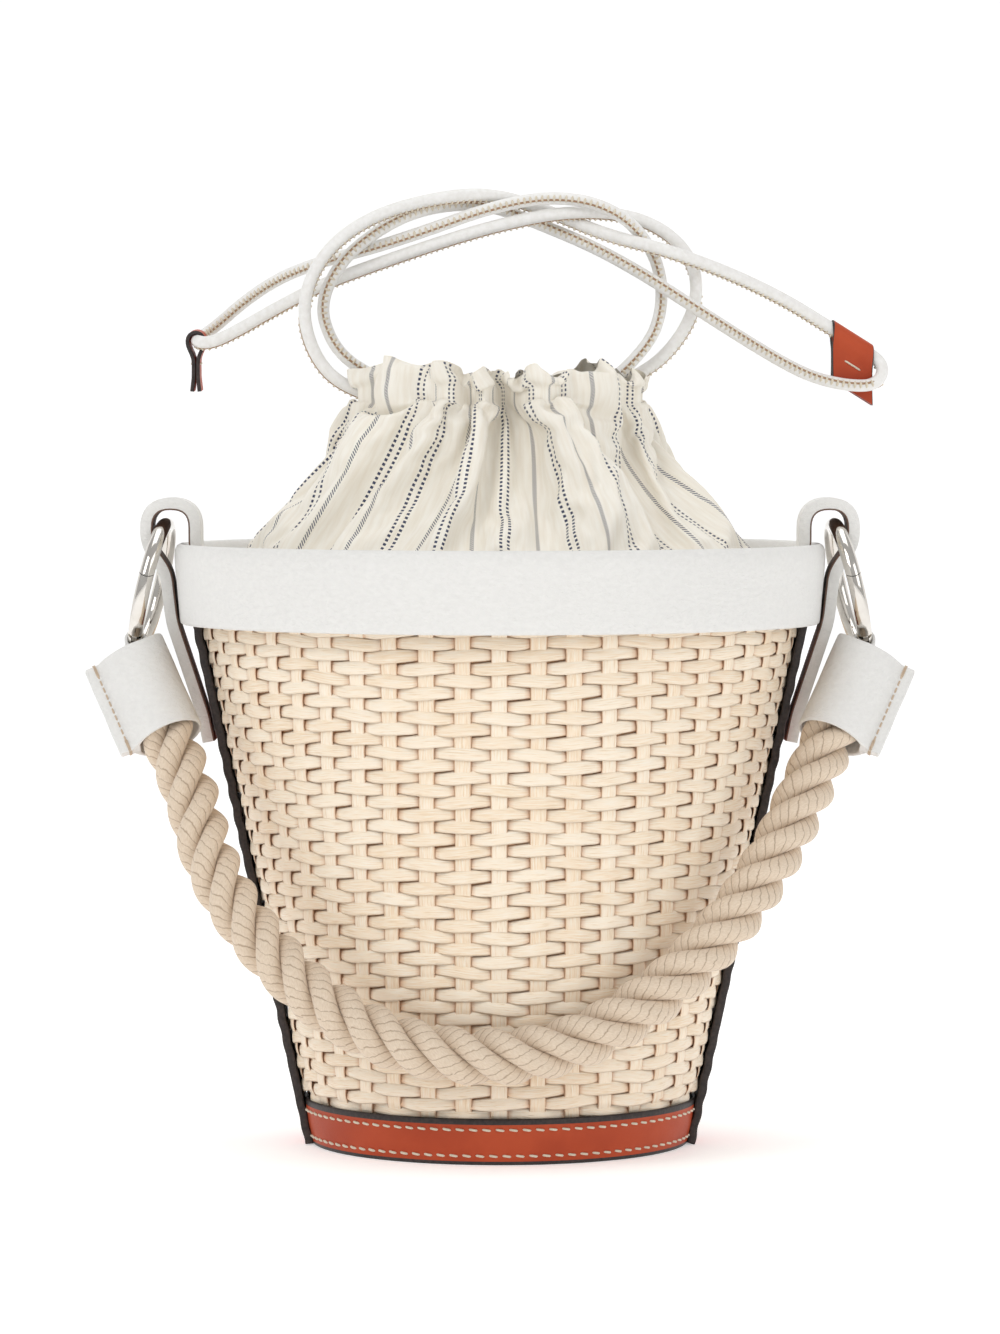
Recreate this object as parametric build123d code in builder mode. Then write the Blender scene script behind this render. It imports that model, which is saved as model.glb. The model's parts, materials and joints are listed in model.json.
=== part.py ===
"""Round woven bucket bag with a gathered cotton pouch, drawcords and a rope handle on gate rings.

Millimetres, +Z up. The origin is the centre of the underside of the base, the front is -Y and
the two handle rings are on the X axis, at +X and -X.
"""

from math import cos, pi, radians, sin
import os

from build123d import *

# Basket: a straight cone of woven straw
BASE_R = 79.0             # outside of the weave just above the base band
WALL_START_Z = 19.4
RIM_FOOT_Z = 208.0        # lower edge of the leather rim band
WALL_SLOPE = 0.2145       # growth of radius with height
WALL = 2.4                # thickness of the weave
RIM_Z = 240.0
RIM_R = 130.0             # outside of the rim band at its top
RIM_FOOT_R = 127.0
RIM_LEATHER = 1.0

# Base: leather band round the foot, sole, stiffening board, woven floor
BAND_H = 18.4
BAND_LEATHER = 1.8
BAND_FOOT_R = 75.6
SOLE = 2.4
BOARD = 2.0
FLOOR = 2.4

# Side strips that cover the joins of the weave
STRIP_WIDTH = 28.0
STRIP_LEATHER = 2.2
STRIP_FOOT_R = 75.7
STRIP_SLOPE = 0.2145

# Leather loops that hold the rings
LOOP_WIDTH = 20.0
LOOP_LAYER = 2.1          # the white strap and its tan lining are each this thick
EYE_IN_X = 122.4          # middle of the two layers, inside leg
EYE_OUT_X = 140.1         # middle of the two layers, outside leg
EYE_TOP_Z = 255.0

# Gate rings
RING_R = 25.5
WIRE_R = 3.0
PIVOT_X = 133.5           # middle of the wire where it hangs in the eye
PIVOT_Z = 247.2
RING_TILT = 13.0          # foot of the ring stands outwards
RING_YAW = 4.5            # near side of the ring stands outwards
GATE_TIP = 14.0           # angles round the ring, from its front upwards
GATE_PIN_AT = -50.0
PIN_R = 0.8
TONGUE = 2.0              # thickness of the gate's tongue, in a slot of the ring
SLOT = 7.0
FORK_END = 2.5            # degrees from the pin to the end of the ring's fork
TONGUE_START = 5.7        # degrees from the pin to the full thickness of the gate

# Handle: leather sleeves over the ends of a laid rope
HANDLE_LEAN = 29.0        # forward lean of the handle on its rings, at rest
SLEEVE_R = 13.4
SLEEVE_BORE_R = 11.7
SLEEVE_LENGTH = 43.0
MOUTH_SET_BACK = 0.8      # keeps the mouth clear of the wire as the handle turns on its rings
SLEEVE_LEAN_IN = 0.48     # inward run of a sleeve for each millimetre down
FLAP = 7.5                # where the two ends of the sleeve's leather are sewn together
FLAP_THICK = 3.2
KEEPER_GAP = 1.2          # play of the keeper loop round the ring's wire
KEEPER_LEATHER = 2.0
KEEPER_WIDTH = 8.0
ROPE_R = 11.2
ROPE_START = 14.0         # from the mouth of the sleeve down to the rope's end
ROPE_LEAD = 48.0          # straight run of the rope's route from each end
WHIPPING = 10.0

CORD_R = 2.5

side_names = {-1: "left", 1: "right"}


def save(piece, label):
    piece.part.label = label
    export_step(piece.part, f"parts/{label}.step")


def tube(route, radius, label):
    """A tube along straight runs and tangent arcs, each as large as its two runs allow."""
    points = [Vector(*point) for point in route]
    radii = []
    for before, here, after in zip(points, points[1:], points[2:]):
        one, two = here - before, after - here
        half_turn = radians(one.get_angle(two)) / 2
        radii.append(0.45 * min(one.length, two.length) * cos(half_turn) / sin(half_turn))
    with BuildPart() as piece:
        with BuildLine() as path:
            FilletPolyline(*points, radius=radii)
        middle = path.wire()
        with BuildSketch(Plane(origin=middle @ 0, z_dir=middle % 0)):
            Circle(radius)
        sweep(path=middle)
    length = middle.length
    print(label, "length", round(length, 1), "radii", [round(r, 1) for r in radii])
    print(label, "volume over section x length", round(piece.part.volume / (pi * radius**2 * length), 4))
    return piece


os.makedirs("parts", exist_ok=True)

# Base, from the ground up
with BuildPart() as base_sole:
    Cylinder(73.6, SOLE, align=(Align.CENTER, Align.CENTER, Align.MIN))
save(base_sole, "base_sole")

with BuildPart(Plane.XY.offset(SOLE + 0.1)) as base_board:
    Cylinder(71.0, BOARD, align=(Align.CENTER, Align.CENTER, Align.MIN))
save(base_board, "base_board")

with BuildPart(Plane.XY.offset(SOLE + BOARD + 0.2)) as basket_floor:
    Cylinder(71.4, FLOOR, align=(Align.CENTER, Align.CENTER, Align.MIN))
save(basket_floor, "basket_floor")

# Woven wall: straight inside and out, drawn in under the base band and flared into the rim
rim_wall_r = BASE_R + WALL_SLOPE * (RIM_FOOT_Z - WALL_START_Z)
wall_top_r = RIM_R - RIM_LEATHER - 0.2
with BuildPart() as basket_shell:
    with BuildSketch(Plane.XZ):
        with BuildLine():
            Polyline(
                (73.7, SOLE + 0.2),
                (77.0, BAND_H + 0.2),
                (BASE_R, WALL_START_Z),
                (rim_wall_r, RIM_FOOT_Z),
                (wall_top_r, 236.0),
                (wall_top_r - WALL, 236.0),
                (rim_wall_r - WALL, RIM_FOOT_Z),
                (BASE_R - WALL, WALL_START_Z),
                (77.0 - WALL, BAND_H + 0.2),
                (73.7 - WALL + 0.2, SOLE + BOARD + 0.2),
                (73.7 - WALL, SOLE + 0.2),
                close=True,
            )
        make_face()
    revolve(axis=Axis.Z)
save(basket_shell, "basket_shell")

# Base band in two halves, joined under the side strips
for label, keep in (("base_band_front", Keep.BOTTOM), ("base_band_back", Keep.TOP)):
    with BuildPart() as base_band:
        with BuildSketch(Plane.XZ):
            with BuildLine():
                Polyline(
                    (BAND_FOOT_R, 0.0),
                    (BASE_R, BAND_H),
                    (BASE_R - BAND_LEATHER, BAND_H),
                    (BAND_FOOT_R - BAND_LEATHER, 0.0),
                    close=True,
                )
            make_face()
        revolve(axis=Axis.Z)
        split(bisect_by=Plane.XZ.rotated((180, 0, 0)), keep=keep)
    save(base_band, label)

# Rim: a stiff hoop on the outside of the weave, and leather folded over the top of both
with BuildPart() as rim_hoop:
    with BuildSketch(Plane.XZ):
        with BuildLine():
            Polyline((120.15, 209.2), (125.8, 209.2), (128.0, 230.0), (126.95, 230.0), close=True)
        make_face()
    revolve(axis=Axis.Z)
save(rim_hoop, "rim_hoop")

with BuildPart() as rim_band:
    with BuildSketch(Plane.XZ):
        with BuildLine():
            Polyline(
                (RIM_FOOT_R, RIM_FOOT_Z),
                (RIM_R, 236.5),
                (RIM_R - 1.0, 239.2),
                (RIM_R - 2.3, RIM_Z),
                (RIM_R - 3.6, 239.2),
                (RIM_R - 4.9, 236.0),
                (117.5, 214.0),
                (118.5, 213.7),
                (RIM_R - 3.9, 236.3),
                (RIM_R - 2.3, 238.8),
                (RIM_R - RIM_LEATHER, 236.3),
                (RIM_FOOT_R - RIM_LEATHER, RIM_FOOT_Z),
                close=True,
            )
        make_face()
    revolve(axis=Axis.Z)
save(rim_band, "rim_band")

# Pouch: a lining bag that fills the basket, a top that gathers in, and the drawcord casing
with BuildPart() as pouch_lining:
    with BuildSketch(Plane.XZ):
        with BuildLine():
            Polyline(
                (0, 7.6), (70.0, 7.6), (74.6, 20.0), (115.0, 208.0),
                (113.8, 208.0), (73.4, 20.2), (69.2, 8.8), (0, 8.8),
                close=True,
            )
        make_face()
    revolve(axis=Axis.Z)
save(pouch_lining, "pouch_lining")

with BuildPart() as pouch_top:
    with BuildSketch(Plane.XZ):
        with BuildLine():
            Polyline(
                (115.0, 208.3), (101.5, 238.0), (83.0, 266.0), (71.0, 278.0), (59.0, 287.0),
                (56.4, 287.0), (69.8, 276.6), (81.7, 264.8), (100.0, 237.2), (113.4, 208.3),
                close=True,
            )
        make_face()
    revolve(axis=Axis.Z)
save(pouch_top, "pouch_top")

with BuildPart() as pouch_casing:
    with BuildSketch(Plane.XZ):
        with BuildLine():
            Polyline(
                (58.6, 287.3), (53.5, 292.5), (51.5, 301.0), (53.5, 314.0),
                (46.5, 314.0), (43.5, 301.0), (46.0, 292.5), (52.0, 287.3),
                close=True,
            )
        make_face()
    revolve(axis=Axis.Z)
save(pouch_casing, "pouch_casing")

# Drawcords: each leaves one side of the casing, arches over, turns back in a leather tab
# beyond the other side, and returns to where it came from
DRAWCORD_LEFT = [
    (-48, -6, 298), (-63, -7, 302), (-75, -8, 316), (-79, -9, 336), (-71, -9, 355), (-54, -7, 369),
    (-30, -4, 377), (-4, 2, 380), (19, 5, 373), (42, 0, 363), (66, -7, 357), (92, 5, 348),
    (114, 17, 338), (131, 26, 328), (147, 29, 318), (156, 28, 311), (152, 24, 303),
    (140, 22, 303), (127, 20, 306), (114, 15, 312), (97, 7, 322), (79, -4, 333), (59, -5, 346),
    (38, 1, 358), (17, 7, 367), (-6, 8, 376), (-30, 4, 374), (-49, 0, 365), (-64, -3, 352),
    (-72, -2, 335), (-67, -1, 319), (-56, 0, 309), (-44, 0, 304),
]
DRAWCORD_RIGHT = [
    (45, 6, 303), (58, 7, 308), (71, 7, 320), (79, 6, 336), (78, 7, 352), (67, 8, 365),
    (49, 7, 372), (25, -4, 372), (0, -5, 367), (-24, -2, 360), (-48, 4, 352), (-70, 4, 344),
    (-90, 13, 334), (-106, 20, 325), (-117, 21, 320), (-123, 25, 321), (-123, 41, 322),
    (-116, 45, 327), (-103, 37, 338), (-88, 22, 347), (-70, 7, 353), (-50, 3, 358),
    (-28, -1, 365), (-6, -3, 373), (17, -4, 378), (38, -6, 376), (54, 0, 367), (64, 4, 351),
    (65, 3, 333), (59, 1, 318), (48, 0, 308),
]
for label, route in (("drawcord_left", DRAWCORD_LEFT), ("drawcord_right", DRAWCORD_RIGHT)):
    save(tube(route, CORD_R, label), label)

# Tabs: leather folded over the turn of each cord, both leaves hanging below it
TAB_LEATHER = 1.6
TAB_DROP = 21.0
tab_folds = {
    "tab_left": ((-123, 25.8, 321.1), (-123, 40.2, 321.9)),
    "tab_right": ((133, 26.4, 326.75), (147, 29, 318)),
}
for label, (start, end) in tab_folds.items():
    fold = Vector(*end) - Vector(*start)
    across = fold.cross(Vector(0, 0, 1))
    with BuildPart() as tab:
        with BuildSketch(Plane(origin=start, x_dir=across, z_dir=fold)):
            for half_width, mode in ((CORD_R + TAB_LEATHER, Mode.ADD), (CORD_R, Mode.SUBTRACT)):
                Circle(half_width, mode=mode)
                Rectangle(2 * half_width, TAB_DROP, align=(Align.CENTER, Align.MIN), mode=mode)
        extrude(amount=fold.length)
    save(tab, label)

# Side strips: flat leather from the foot up to the rim band, each over a join of the weave
strip_top_r = STRIP_FOOT_R + STRIP_SLOPE * (RIM_FOOT_Z - 0.6)
for side, name in side_names.items():
    with BuildPart() as side_strip:
        with BuildSketch(Plane.XZ):
            with BuildLine():
                Polyline(
                    (side * STRIP_FOOT_R, 0.2),
                    (side * (STRIP_FOOT_R + STRIP_LEATHER), 0.2),
                    (side * (strip_top_r + STRIP_LEATHER), RIM_FOOT_Z - 0.6),
                    (side * strip_top_r, RIM_FOOT_Z - 0.6),
                    close=True,
                )
            make_face()
        extrude(amount=STRIP_WIDTH / 2, both=True)
    save(side_strip, f"side_strip_{name}")

# Loops: a white strap with a tan lining, from inside the rim up over the ring's wire, then down
# the outside on to the side strip
loop_path = [
    (114.2, 214.0), (EYE_IN_X, 239.0), (EYE_IN_X, EYE_TOP_Z), (EYE_OUT_X, EYE_TOP_Z),
    (EYE_OUT_X, 240.0), (132.3, 229.0), (130.0, 209.0), (117.7, 172.0), (115.4, 161.0),
]
loop_bends = [10.0, 8.8, 8.8, 8.0, 10.0, 12.0, 20.0]
inside_loop = [(114.8, 158.0), (90.0, 158.0), (90.0, 205.0), (112.8, 210.0)]
for side, name in side_names.items():
    strap_line = [(side * x, z) for x, z in loop_path]
    closing_line = [(side * x, z) for x, z in [loop_path[-1], *inside_loop, loop_path[0]]]
    for label, kept in (("loop", Mode.SUBTRACT), ("loop_lining", Mode.INTERSECT)):
        with BuildPart() as layer:
            with BuildSketch(Plane.XZ):
                with BuildLine():
                    FilletPolyline(*strap_line, radius=loop_bends)
                trace(line_width=2 * LOOP_LAYER)
                with BuildLine():
                    FilletPolyline(*strap_line, radius=loop_bends)
                    Polyline(*closing_line)
                make_face(mode=kept)
            extrude(amount=LOOP_WIDTH / 2, both=True)
        save(layer, f"{label}_{name}")

# Rings: the wire is open at the front, where the gate closes it. In a ring's own plane the
# angles start at its front and grow upwards.
tip_reach = 2 * RING_R * sin(radians(GATE_TIP - GATE_PIN_AT) / 2)
pin_spot = (RING_R * cos(radians(GATE_PIN_AT)), RING_R * sin(radians(GATE_PIN_AT)))
to_tip = (GATE_TIP + GATE_PIN_AT) / 2 + 90


def ring_plane(side):
    down = Vector(side * sin(radians(RING_TILT)), 0, -cos(radians(RING_TILT)))
    near = Vector(side * sin(radians(RING_YAW)), -cos(radians(RING_YAW)), 0)
    normal = down.cross(near).normalized()
    centre = Vector(side * PIVOT_X, 0, PIVOT_Z) + down * RING_R
    return Plane(origin=centre, x_dir=normal.cross(down), z_dir=normal)


def wire(plane, start, end):
    """A stretch of the ring's wire from one angle to another."""
    with BuildPart() as stretch:
        with BuildLine(plane):
            CenterArc((0, 0), RING_R, start, end - start)
        middle = stretch.pending_edges_as_wire
        outward = (middle @ 0 - plane.origin).normalized()
        with BuildSketch(Plane(origin=middle @ 0, x_dir=outward + plane.z_dir, z_dir=middle % 0)):
            Circle(WIRE_R)
        sweep(path=middle)
    return stretch.part


for side, name in side_names.items():
    plane = ring_plane(side)
    print(name, "ring centre", plane.origin, "normal", plane.z_dir)

    with BuildPart() as lip:
        add(wire(plane, GATE_TIP - 8, GATE_TIP + 6))
        with BuildSketch(plane):
            with Locations(pin_spot):
                Circle(tip_reach + 0.2)
        extrude(amount=WIRE_R + 1, both=True, mode=Mode.SUBTRACT)

    with BuildPart() as ring:
        add(wire(plane, GATE_TIP + 6, GATE_PIN_AT + FORK_END + 360))
        add(lip.part)
        with BuildSketch(plane):
            with Locations(Location((*pin_spot, 0), (0, 0, GATE_PIN_AT))):
                Rectangle(12, SLOT)
        extrude(amount=TONGUE / 2 + 0.15, both=True, mode=Mode.SUBTRACT)
        with BuildSketch(plane):
            with Locations(pin_spot):
                Circle(PIN_R)
        extrude(amount=WIRE_R + 1, both=True, mode=Mode.SUBTRACT)
    save(ring, f"ring_{name}")

    with BuildPart() as gate_pin:
        with BuildSketch(plane):
            with Locations(pin_spot):
                Circle(PIN_R)
        extrude(amount=WIRE_R - 0.3, both=True)
    save(gate_pin, f"gate_pin_{name}")

    with BuildPart() as gate_spring:
        with BuildSketch(plane):
            with Locations(Location((*pin_spot, 0), (0, 0, GATE_PIN_AT))):
                with Locations((0, 0.3 - SLOT / 2)):
                    Rectangle(4.4, 0.5)
        extrude(amount=TONGUE / 2, both=True)
    save(gate_spring, f"gate_spring_{name}")

    with BuildPart() as gate:
        add(wire(plane, GATE_PIN_AT + TONGUE_START, GATE_TIP + 8))
        with BuildSketch(plane):
            with Locations(pin_spot):
                Circle(tip_reach - 0.05)
        extrude(amount=WIRE_R + 1, both=True, mode=Mode.INTERSECT)
        with BuildSketch(plane):
            with Locations(pin_spot):
                Circle(2.6)
            with Locations(Location((*pin_spot, 0), (0, 0, to_tip))):
                Rectangle(4.5, 4.2, align=(Align.MIN, Align.CENTER))
        extrude(amount=TONGUE / 2, both=True)
        with BuildSketch(plane):
            with Locations(pin_spot):
                Circle(PIN_R + 0.06)
        extrude(amount=WIRE_R + 1, both=True, mode=Mode.SUBTRACT)
    save(gate, f"gate_{name}")

# Handle ends: a keeper loop rides on the ring's wire and is sewn inside the mouth of a leather
# sleeve, which grips the end of the rope
lean_forward = sin(radians(HANDLE_LEAN)) / cos(radians(HANDLE_LEAN))
rope_ends, rope_leads = {}, {}
for side, name in side_names.items():
    plane = ring_plane(side)
    held_at = radians(HANDLE_LEAN - 90)
    wire_spot = plane.from_local_coords((RING_R * cos(held_at), RING_R * sin(held_at), 0))
    along_wire = plane.from_local_coords((-sin(held_at), cos(held_at), 0))
    along_wire = along_wire - plane.origin
    axis = Vector(-side * SLEEVE_LEAN_IN, -lean_forward, -1).normalized()
    mouth = wire_spot + Vector(side * 1.5, -0.8, -2.4)
    sleeve_plane = Plane(origin=mouth, x_dir=Vector(side, 0, 0) - axis * (axis.X * side), z_dir=axis)
    rope_ends[name] = mouth + axis * ROPE_START
    rope_leads[name] = rope_ends[name] + axis * ROPE_LEAD
    print(name, "mouth", mouth, "axis", axis, "rope end", rope_ends[name])

    with BuildPart() as sleeve:
        with BuildSketch(sleeve_plane.offset(MOUTH_SET_BACK)):
            Circle(SLEEVE_R)
            with Locations((SLEEVE_BORE_R + 0.5, 0)):
                Rectangle(FLAP + 1, FLAP_THICK, align=(Align.MIN, Align.CENTER))
            Circle(SLEEVE_BORE_R, mode=Mode.SUBTRACT)
        extrude(amount=SLEEVE_LENGTH - MOUTH_SET_BACK)
    save(sleeve, f"sleeve_{name}")

    keeper_r = WIRE_R + KEEPER_GAP
    below = axis - along_wire * axis.dot(along_wire)
    with BuildPart() as ring_keeper:
        with BuildSketch(Plane(origin=wire_spot, x_dir=below, z_dir=along_wire)):
            Circle(keeper_r + KEEPER_LEATHER)
            Rectangle(ROPE_START, 2 * KEEPER_LEATHER, align=(Align.MIN, Align.CENTER))
            Circle(keeper_r, mode=Mode.SUBTRACT)
        extrude(amount=KEEPER_WIDTH / 2, both=True)
    save(ring_keeper, f"ring_keeper_{name}")

    with BuildPart() as rope_whipping:
        with BuildSketch(sleeve_plane.offset(ROPE_START + 2)):
            Circle(ROPE_R + 0.4)
            Circle(ROPE_R, mode=Mode.SUBTRACT)
        extrude(amount=WHIPPING)
    save(rope_whipping, f"rope_whipping_{name}")

# Rope: hangs from sleeve to sleeve and rests against the front of the basket
ROPE = [
    (-113, -60, 113), (-87, -79, 79), (-56, -92, 55), (-19, -98, 44), (22, -97, 46),
    (60, -87, 65), (90, -71, 94), (109, -56, 121),
]
left_end, right_end = (rope_ends["left"], rope_leads["left"]), (rope_leads["right"], rope_ends["right"])
rope_route = [*left_end, *ROPE, *right_end]
save(tube(rope_route, ROPE_R, "rope_handle"), "rope_handle")
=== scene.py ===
"""Looks of the round woven bucket bag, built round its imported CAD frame. Metres, +Z up, front -Y."""

import json
import math
import random

import bpy
import numpy as np
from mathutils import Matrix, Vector


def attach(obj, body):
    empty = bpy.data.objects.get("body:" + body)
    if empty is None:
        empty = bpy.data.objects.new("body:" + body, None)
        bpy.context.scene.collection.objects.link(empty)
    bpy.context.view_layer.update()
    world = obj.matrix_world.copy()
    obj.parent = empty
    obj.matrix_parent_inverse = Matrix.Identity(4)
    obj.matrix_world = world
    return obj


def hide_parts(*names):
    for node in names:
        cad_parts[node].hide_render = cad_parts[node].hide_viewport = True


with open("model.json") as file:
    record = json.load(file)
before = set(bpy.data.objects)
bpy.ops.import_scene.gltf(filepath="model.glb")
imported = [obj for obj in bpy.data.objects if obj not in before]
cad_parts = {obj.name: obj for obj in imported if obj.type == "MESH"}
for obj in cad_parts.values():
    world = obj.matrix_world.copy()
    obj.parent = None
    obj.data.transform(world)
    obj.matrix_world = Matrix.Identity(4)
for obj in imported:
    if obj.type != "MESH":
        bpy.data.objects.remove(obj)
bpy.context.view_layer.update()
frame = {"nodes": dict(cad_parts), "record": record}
MM = 0.001
TAU = 2 * math.pi
SIDES = (("left", -1), ("right", 1))
rng = random.Random(7)


# ---------------------------------------------------------------- camera
camera = bpy.data.objects.new("camera", bpy.data.cameras.new("camera"))
bpy.context.scene.collection.objects.link(camera)
LOOKS_DOWN = 2.62
camera.location = (0, -2.2, 0.291)
camera.rotation_euler = (math.radians(90 - LOOKS_DOWN), 0, 0)
camera.data.sensor_width = 36
camera.data.lens = 148.4
camera.data.clip_start = 0.05
bpy.context.scene.camera = camera


# ---------------------------------------------------------------- materials
class Finish:
    """A procedural material, with short names for the nodes that it is made of."""

    def __init__(self, name, colour, roughness, **sockets):
        self.material = bpy.data.materials.new(name)
        self.material.use_nodes = True
        self.tree = self.material.node_tree
        self.shader = self.tree.nodes["Principled BSDF"]
        self.shader.inputs["Base Color"].default_value = (*colour, 1)
        self.shader.inputs["Roughness"].default_value = roughness
        for key, value in sockets.items():
            self.shader.inputs[key.replace("_", " ")].default_value = value

    def node(self, kind, **settings):
        node = self.tree.nodes.new("ShaderNode" + kind)
        for key, value in settings.items():
            setattr(node, key, value)
        return node

    def join(self, source, target):
        if isinstance(source, (int, float)):
            target.default_value = source
        elif isinstance(source, tuple):
            target.default_value = (*source, 1) if len(target.default_value) == 4 else source
        else:
            self.tree.links.new(source, target)

    def math(self, operation, *values):
        node = self.node("Math", operation=operation)
        for value, socket in zip(values, node.inputs):
            self.join(value, socket)
        return node.outputs[0]

    def place(self, source="Object", stretch=(1, 1, 1)):
        mapping = self.node("Mapping")
        mapping.inputs["Scale"].default_value = stretch
        self.join(self.node("TexCoord").outputs[source], mapping.inputs["Vector"])
        return mapping.outputs[0]

    def noise(self, scale, stretch=(1, 1, 1), source="Object", detail=3.0):
        node = self.node("TexNoise")
        node.inputs["Scale"].default_value = scale
        node.inputs["Detail"].default_value = detail
        self.join(self.place(source, stretch), node.inputs["Vector"])
        return node.outputs[0]

    def range(self, value, low, high, to_low=0.0, to_high=1.0):
        node = self.node("MapRange")
        for given, key in zip((value, low, high, to_low, to_high),
                              ("Value", "From Min", "From Max", "To Min", "To Max")):
            self.join(given, node.inputs[key])
        return node.outputs[0]

    def mix(self, share, first, second):
        """A colour between two. A mix node's first sockets for colours are its seventh and eighth."""
        node = self.node("Mix", data_type="RGBA")
        self.join(share, node.inputs["Factor"])
        self.join(first, node.inputs[6])
        self.join(second, node.inputs[7])
        return node.outputs[2]

    def attribute(self, name):
        return self.node("Attribute", attribute_name=name).outputs["Fac"]

    def colour(self, value):
        self.join(value, self.shader.inputs["Base Color"])

    def roughness(self, value):
        self.join(value, self.shader.inputs["Roughness"])

    def bump(self, *layers):
        """Layers of (height, strength, depth in millimetres)."""
        normal = None
        for height, strength, depth in layers:
            node = self.node("Bump")
            node.inputs["Strength"].default_value = strength
            node.inputs["Distance"].default_value = depth * MM
            self.join(height, node.inputs["Height"])
            if normal:
                self.join(normal, node.inputs["Normal"])
            normal = node.outputs[0]
        self.join(normal, self.shader.inputs["Normal"])


def straw_finish():
    f = Finish("straw", (0.84, 0.70, 0.50), 0.5)
    fibres = f.noise(1.0, (130, 3000, 1), "UV", 4)
    shade = f.attribute("shade")
    tint = f.attribute("tint")
    pale = f.mix(tint, (0.86, 0.68, 0.48), (0.92, 0.79, 0.62))
    streaked = f.mix(f.range(fibres, 0.4, 0.75), pale, (0.92, 0.85, 0.73))
    streaked = f.mix(f.range(fibres, 0.42, 0.25), streaked, (0.74, 0.57, 0.39))
    # The shade attribute is painted shade: it turns the straw orange-brown in the weave's gaps, where
    # weavers dive under stakes, along their edges and on the shell behind
    f.colour(f.mix(shade, streaked, (0.66, 0.33, 0.15)))
    f.roughness(f.range(fibres, 0.3, 0.7, 0.42, 0.62))
    f.bump((fibres, 0.85, 0.3))
    return f.material


def white_leather_finish():
    colour = (0.80, 0.79, 0.765)
    f = Finish("white_leather", colour, 0.5)
    grain = f.noise(420, (1, 1, 1.5))
    cells = f.node("TexVoronoi", feature="DISTANCE_TO_EDGE")
    cells.inputs["Scale"].default_value = 900
    f.join(f.place(stretch=(1, 1, 1.3)), cells.inputs["Vector"])
    creases = f.range(cells.outputs[0], 0.0, 0.12)
    f.colour(f.mix(f.range(grain, 0.35, 0.65), tuple(0.96 * c for c in colour), colour))
    f.roughness(f.range(grain, 0.35, 0.65, 0.42, 0.56))
    f.bump((grain, 0.75, 0.6), (creases, 0.4, 0.15))
    return f.material


def tan_leather_finish():
    f = Finish("tan_leather", (0.45, 0.065, 0.02), 0.5, Specular_IOR_Level=0.25)
    cloud = f.noise(45, detail=4)
    pores = f.noise(2600, detail=2)
    f.colour(f.mix(f.range(cloud, 0.35, 0.65), (0.39, 0.052, 0.016), (0.47, 0.07, 0.022)))
    f.roughness(f.range(pores, 0.3, 0.7, 0.42, 0.56))
    f.bump((pores, 0.2, 0.08))
    return f.material


def dark_edge_finish():
    f = Finish("dark_edge_leather", (0.022, 0.014, 0.013), 0.5)
    rough = f.noise(700)
    f.colour(f.mix(f.range(rough, 0.35, 0.7), (0.014, 0.009, 0.008), (0.04, 0.026, 0.023)))
    f.bump((rough, 0.4, 0.25))
    return f.material


def cotton_finish():
    """Cream twill with, in turn, a pair of dotted navy stripes and a fine grey one. UV is the
    flat cloth in metres."""
    f = Finish("striped_cotton", (0.86, 0.80, 0.68), 0.85, Sheen_Weight=0.15)
    parts = f.node("SeparateXYZ")
    f.join(f.place("UV"), parts.inputs[0])
    across, along = parts.outputs[0], parts.outputs[1]
    half_repeat, dot_row, dot_half, grey_half = 15.1 * MM, 1.65 * MM, 0.62 * MM, 0.85 * MM
    dot_gap, twill_gap, twill_lean = 2.1 * MM, 1.3 * MM, 0.9
    repeat = f.math("PINGPONG", across, half_repeat)
    row = f.math("LESS_THAN", f.math("ABSOLUTE", f.math("SUBTRACT", repeat, dot_row)), dot_half)
    dots = f.math("LESS_THAN", f.math("FRACT", f.math("DIVIDE", along, dot_gap)), 0.56)
    grey = f.math("LESS_THAN", f.math("ABSOLUTE", f.math("SUBTRACT", repeat, half_repeat)), grey_half)
    slant = f.math("ADD", along, f.math("MULTIPLY", across, twill_lean))
    twill = f.math("FRACT", f.math("DIVIDE", slant, twill_gap))
    dashes = f.math("MULTIPLY", grey, f.math("LESS_THAN", twill, 0.55))
    slub = f.noise(1.0, (500, 60, 1), "UV", 3)
    cream = f.mix(f.range(slub, 0.35, 0.65), (0.82, 0.765, 0.665), (0.88, 0.845, 0.765))
    striped = f.mix(f.math("MULTIPLY", row, dots), cream, (0.045, 0.055, 0.10))
    f.colour(f.mix(dashes, striped, (0.16, 0.16, 0.19)))
    weave = f.noise(1.0, (2600, 2600, 1), "UV", 2)
    f.bump((weave, 0.35, 0.12))
    return f.material


def cord_finish():
    f = Finish("white_cord", (0.82, 0.81, 0.785), 0.45)
    creases = f.noise(500)
    f.colour(f.mix(f.range(creases, 0.35, 0.65), (0.78, 0.765, 0.735), (0.84, 0.83, 0.81)))
    f.bump((creases, 0.25, 0.2))
    return f.material


def thread_finish(name, colour):
    f = Finish(name, colour, 0.7)
    fuzz = f.noise(3500, detail=2)
    f.colour(f.mix(f.range(fuzz, 0.3, 0.7), tuple(0.8 * c for c in colour), colour))
    f.bump((fuzz, 0.5, 0.15))
    return f.material


def nickel_finish(name="polished_nickel", roughness=0.07):
    f = Finish(name, (0.80, 0.775, 0.735), roughness, Metallic=1.0)
    wear = f.noise(160)
    f.colour(f.mix(f.range(wear, 0.3, 0.7), (0.66, 0.625, 0.575), (0.74, 0.71, 0.665)))
    f.roughness(f.range(wear, 0.3, 0.75, roughness * 0.7, roughness * 1.8))
    return f.material


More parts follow.
